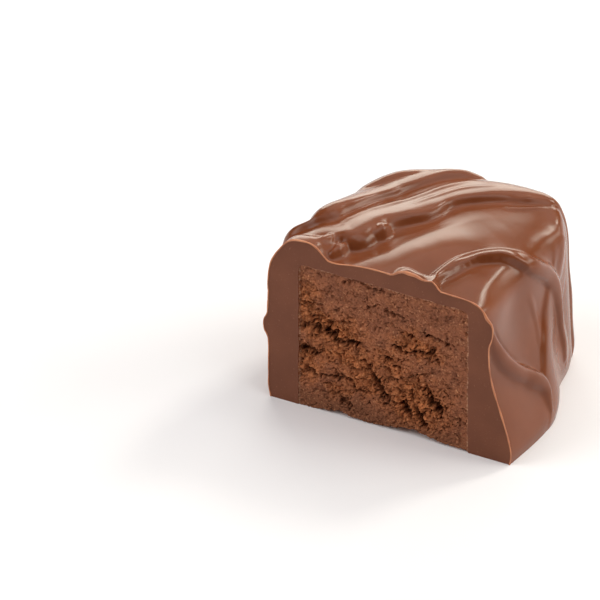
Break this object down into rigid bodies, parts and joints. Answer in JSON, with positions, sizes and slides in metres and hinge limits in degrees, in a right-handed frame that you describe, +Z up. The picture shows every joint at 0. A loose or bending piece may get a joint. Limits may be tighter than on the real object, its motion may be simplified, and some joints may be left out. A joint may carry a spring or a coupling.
{
  "type": "cut chocolate meltaway",
  "caption": "Block-shaped chocolate meltaway cut open at the front, its aerated chocolate centre inside a thick glossy milk chocolate coating with poured strings and a spread foot.",
  "frame": {"origin": "middle of the base of the box around the piece", "axes": "+Z up from the base it rests on, -Y out of the cut face, +X to the right when the cut face is looked at"},
  "size_m": [0.0316, 0.0254, 0.0212],
  "materials": {
    "milk_chocolate": "tempered milk chocolate, soft gloss outside and dull where it is cut",
    "aerated_chocolate": "matt, crumbly chocolate centre full of small air holes"
  },
  "bodies": {
    "root": {"coating": "milk_chocolate", "filling": "aerated_chocolate"}
  },
  "joints": []
}
